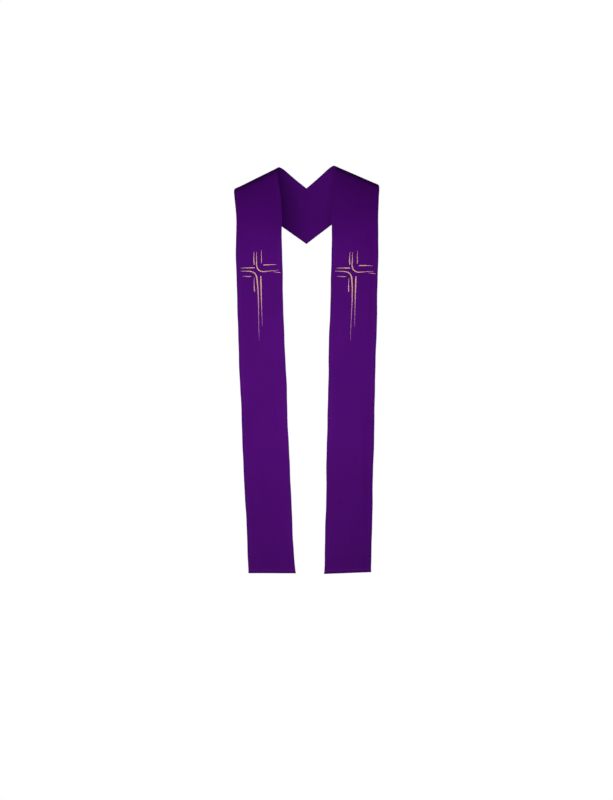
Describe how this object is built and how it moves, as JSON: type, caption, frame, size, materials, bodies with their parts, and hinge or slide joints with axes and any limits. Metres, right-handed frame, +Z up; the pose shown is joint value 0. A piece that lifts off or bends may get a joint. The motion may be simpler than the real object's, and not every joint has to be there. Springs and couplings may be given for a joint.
{
  "type": "clerical stole",
  "caption": "Long purple cloth stole in its worn shape: two straight bands that hang in front, pass over the shoulders and meet in a mitred seam at the nape.",
  "frame": {"origin": "in the wearer's centre plane at the shoulder line, level with the tops of the two inner edges beside the neck", "axes": "+Z up, -Y the way the wearer faces, +X to the right for someone who looks at the front"},
  "size_m": [0.4507, 0.2131, 1.2629],
  "materials": {
    "purple_cloth": "smooth matt woven cloth with a faint sheen",
    "gold_thread": "lustrous satin-stitched rayon embroidery thread"
  },
  "bodies": {
    "root": {"band_left": "purple_cloth", "band_right": "purple_cloth"}
  },
  "joints": []
}
